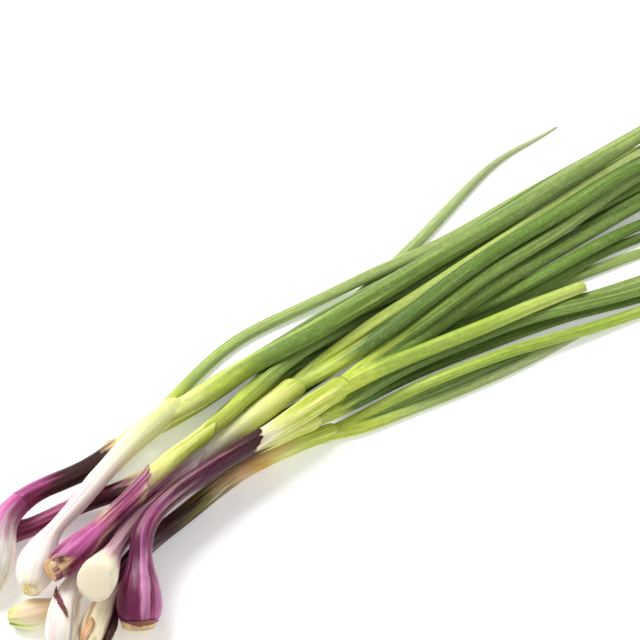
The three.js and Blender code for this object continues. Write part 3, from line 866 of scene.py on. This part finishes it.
class ONION_OT_sheaths(bpy.types.Operator):
    """Loose purple outer sheaths, torn off at their upper ends"""
    bl_idname = "onion.sheaths"
    bl_label = "Sheaths"

    def execute(self, context):
        sizes = context.scene.onion_sizes
        long_side = 2.2  # the turn in radians at which a sheath reaches furthest up its stem
        flare, tucked_in = 2.2, 0.5 * MM
        for number, (letter, ((start, end, slant, tear), bands, streaks)) in enumerate(SHEATHS.items()):
            way = WAYS[f"onion_{letter}_stem"]
            rng = np.random.default_rng(200 + number)
            rows = int((end - start) * MM / sizes.stem_step)
            mesh, share, turn = rolled_sheet(rows, sizes.stem_sides)
            torn = tear * waves(rng, turn, turn * 0, (3, 5, 8, 13), 0)
            reach = end + slant * np.cos(turn - long_side) + torn
            along = (start + (reach - start) * share) * MM
            _, _, side, up = way.at(along)
            ribs = sizes.rib * (0.4 + bulb_share(along)) * waves(rng, turn, along, (9, 14, 21), 10)
            folds = side * 0.03 * waves(rng, turn, along, (3, 5), 40)
            lift = sizes.skin * (0.15 + flare * share ** 14 * (1 + waves(rng, turn, along, (2, 3), 0)))
            swell = ribs + folds + lift - np.where(share == 0, tucked_in, 0)
            place(mesh, tube(way, along, turn, side + swell, up + swell))
            close_seams(mesh)
            material = plant_skin(
                f"onion_{letter}_sheath_skin", bands, streaks, float(end), 5.3 * number + 1, 4.5, 0.28,
                vein=0.16, marks=MARKS.get(letter, ()),
            )
            # its colours are counted from the root plate, as a stem's are
            layer = mesh.loops.layers.uv["skin"]
            for face in mesh.faces:
                for loop in face.loops:
                    loop[layer].uv.x = (start + (end - start) * loop[layer].uv.x) / end
            piece = finish_piece(f"sheath_{letter}", mesh, material)
            thick = piece.modifiers.new("skin", "SOLIDIFY")
            thick.thickness = sizes.skin
            thick.offset = -1
        return {"FINISHED"}


class ONION_OT_root_ends(bpy.types.Operator):
    """Root ends, some with the stubs of their trimmed roots"""
    bl_idname = "onion.root_ends"
    bl_label = "Root ends"

    def execute(self, context):
        sizes = context.scene.onion_sizes
        uneven, stubs_reach, lean_most = 0.004, 0.85, 0.5  # two shares of the radius, and radians
        stands_out, lowest = 0.6 * MM, 0.05 * MM
        for number, node in enumerate(STEMS):
            letter = letter_of(node)
            rng = random.Random(300 + number)
            half, height, trim, low, stubs, *labels = ROOT_ENDS[letter]
            centre, ahead, side, _ = WAYS[node].at((1.5 + trim / 2) * MM)
            radius = min(half * MM, float(side))
            mesh = bmesh.new()
            bmesh.ops.create_uvsphere(mesh, u_segments=32, v_segments=16, radius=1)
            for vertex in mesh.verts:
                vertex.co *= 1 + uneven * rng.uniform(-1, 1)
            bmesh.ops.scale(mesh, vec=(radius, radius, height * MM), verts=mesh.verts)
            for _ in range(stubs):
                turn, out = rng.uniform(0, 2 * math.pi), radius * stubs_reach * math.sqrt(rng.random())
                stub = sizes.stub * rng.uniform(0.3, 1)
                leans = [rng.uniform(-lean_most, lean_most) for _ in "xy"]
                lean = Euler((*leans, 0)).to_matrix().to_4x4()
                top = 0.8 * height * MM * math.sqrt(1 - (out / radius) ** 2)
                at = Matrix.Translation((out * math.cos(turn), out * math.sin(turn), top + stub / 4))
                thick = rng.uniform(0.22, 0.4) * MM
                bmesh.ops.create_cone(
                    mesh, cap_ends=True, segments=7, radius1=thick, radius2=0.6 * thick, depth=stub,
                    matrix=at @ lean,
                )
            _, above = across_and_above(ahead)
            faces = Vector(above * trim * MM / (2 * radius) - ahead)
            outward = faces.to_track_quat("Z", "Y").to_matrix().to_4x4()
            base = Matrix.Translation(Vector(centre) - Vector(ahead) * stands_out)
            bmesh.ops.transform(mesh, matrix=base @ outward, verts=mesh.verts)
            for vertex in mesh.verts:
                vertex.co.z = max(vertex.co.z, lowest)
            material = cut_root(f"onion_{letter}_root_cork", number, low, labels)
            finish_piece(f"root_end_{letter}", mesh, material)
        return {"FINISHED"}


class ONION_OT_scraps(bpy.types.Operator):
    """Scraps of torn, dry skin that cling to the bulbs"""
    bl_idname = "onion.scraps"
    bl_label = "Scraps of skin"

    def execute(self, context):
        sizes = context.scene.onion_sizes
        clear, colour_step = 0.55, 8  # millimetres
        for number, (letter, start, turn_in, end, turn_out, width, curl, labels) in enumerate(SCRAPS):
            way = WAYS[f"onion_{letter}_stem"]
            rng = np.random.default_rng(500 + number)
            mesh, share, round_it = rolled_sheet(28, 8)
            across = round_it / math.pi - 1
            half = 0.5 * width * np.sin(math.pi * np.clip(share, 0.02, 0.98)) ** 0.6
            half = half * (1 + 0.25 * waves(rng, share * 2 * math.pi, share * 0, (3, 5, 9), 0))
            bend = 0.12 * waves(rng, share * 2 * math.pi, share * 0, (1, 2), 0)
            _, _, radius, _ = way.at(0.5 * (start + end) * MM)
            forth, sweep = (end - start) * MM, math.radians(turn_out - turn_in) * float(radius)
            size = math.hypot(forth, sweep)
            aside = half * across * MM + bend * width * MM
            along = start * MM + forth * share + sweep / size * aside
            turn = math.radians(turn_in) + (sweep * share - forth / size * aside) / float(radius)
            _, _, side, up = way.at(along)
            lift = (clear + curl * (np.abs(2 * share - 1) ** 3 + 0.5 * across ** 2)) * MM
            place(mesh, tube(way, along, turn, side + lift, up + lift))
            bands, streaks = (
                [(colour_step * i, label) for i, label in enumerate(order)]
                for order in (labels, labels[::-1])
            )
            material = plant_skin(
                f"onion_{letter}_scrap_skin_{number}", bands, streaks, 2.0 * colour_step, 9.1 * number + 3,
                1.5, 0.42, ragged=3, vein=0.2,
            )
            piece = finish_piece(f"scrap_{letter}_{number}", mesh, material)
            thick = piece.modifiers.new("skin", "SOLIDIFY")
            thick.thickness = 0.6 * sizes.skin
        return {"FINISHED"}


class ONION_OT_leaves(bpy.types.Operator):
    """Long hollow leaves"""
    bl_idname = "onion.leaves"
    bl_label = "Leaves"

    def execute(self, context):
        sizes = context.scene.onion_sizes
        keel_height, edge_height, lumpy = 0.06, 0.035, 0.03  # shares of the leaf's half width
        keel_width, keel_turn, twist_most = 0.3, 0.004, 0.012  # radians, and two in radians a millimetre
        for number, node in enumerate(LEAVES):
            letter = letter_of(node)
            key = f"{letter}_{node[-1]}"
            way = read_leaf(node, WAYS[f"onion_{letter}_stem"])
            rng = np.random.default_rng(400 + number)
            rows = int(way.length / sizes.leaf_step)
            mesh, share, turn = rolled_sheet(rows, sizes.leaf_sides)
            along = share * way.length
            _, _, side, up = way.at(along)
            # a keel runs along it, and its three soft edges turn slowly
            keel = rng.uniform(0.35, 0.65) * 2 * math.pi
            ridge = keel_height * side * np.exp(-((turn - keel - keel_turn * along / MM) / keel_width) ** 2)
            twist = rng.uniform(-twist_most, twist_most)
            edges = edge_height * side * np.cos(3 * turn + twist * along / MM + number)
            lumps = side * lumpy * waves(rng, turn, along, (1, 2, 3), 45)
            swell = ridge + edges + lumps
            closed = (share == 0) | (share == 1)
            near_tip = np.clip((way.length - along) / max(way.sides[-1], MM), 0, 1)
            rounded = np.sqrt(np.clip(1 - (1 - near_tip) ** 2, 0, 1))
            side = np.where(closed, 0, (side + swell) * rounded)
            up = np.where(closed, 0, (up + swell) * rounded)
            place(mesh, tube(way, along, turn, side, up))
            close_seams(mesh)
            tone, fade = LEAF_TONES[key]
            reach = way.length / MM
            stops = (fade + 4, 0.6 * reach, 0.92 * reach)
            stem_tops = [colours[-1][1] for colours in STEM_BANDS[letter]]
            bands, streaks = (
                [(0, root), (16, root), (0.4 * fade + 12, middle), *zip(stops, labels)]
                for root, middle, labels in zip(stem_tops, ("yellow_green", "pear"), TONES[tone])
            )
            material = plant_skin(
                f"onion_{key}_leaf_skin", bands, streaks, reach, 7.7 + 2.9 * number, 3.5, 0.4, ragged=18,
                vein=0.13, bloom=0.26, streaky=(0.5, 0.72),
            )
            piece = finish_piece(f"leaf_{key}", mesh, material)
            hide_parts(node)
        return {"FINISHED"}


class ONION_PT_panel(bpy.types.Panel):
    bl_label = "Spring onion bunch"
    bl_idname = "ONION_PT_panel"
    bl_space_type = "VIEW_3D"
    bl_region_type = "UI"
    bl_category = "Onions"

    def draw(self, context):
        scene = context.scene
        for operator in OPERATORS:
            self.layout.operator(operator.bl_idname)
        for settings in (scene.onion_sizes, scene.onion_colours, scene.onion_stage):
            box = self.layout.box()
            for key in settings.__annotations__:
                box.prop(settings, key)


OPERATORS = (
    ONION_OT_stage, ONION_OT_stems, ONION_OT_sheaths, ONION_OT_root_ends, ONION_OT_scraps, ONION_OT_leaves,
)
CLASSES = (OnionColours, OnionSizes, StageSettings, *OPERATORS, ONION_PT_panel)


def register():
    for each in CLASSES:
        bpy.utils.register_class(each)
    bpy.types.Scene.onion_colours = PointerProperty(type=OnionColours)
    bpy.types.Scene.onion_sizes = PointerProperty(type=OnionSizes)
    bpy.types.Scene.onion_stage = PointerProperty(type=StageSettings)


def unregister():
    del bpy.types.Scene.onion_colours, bpy.types.Scene.onion_sizes, bpy.types.Scene.onion_stage
    for each in reversed(CLASSES):
        bpy.utils.unregister_class(each)


def main():
    register()
    bpy.ops.onion.stage()
    bpy.ops.onion.stems()
    bpy.ops.onion.sheaths()
    bpy.ops.onion.root_ends()
    bpy.ops.onion.scraps()
    bpy.ops.onion.leaves()


if __name__ == "__main__":
    main()
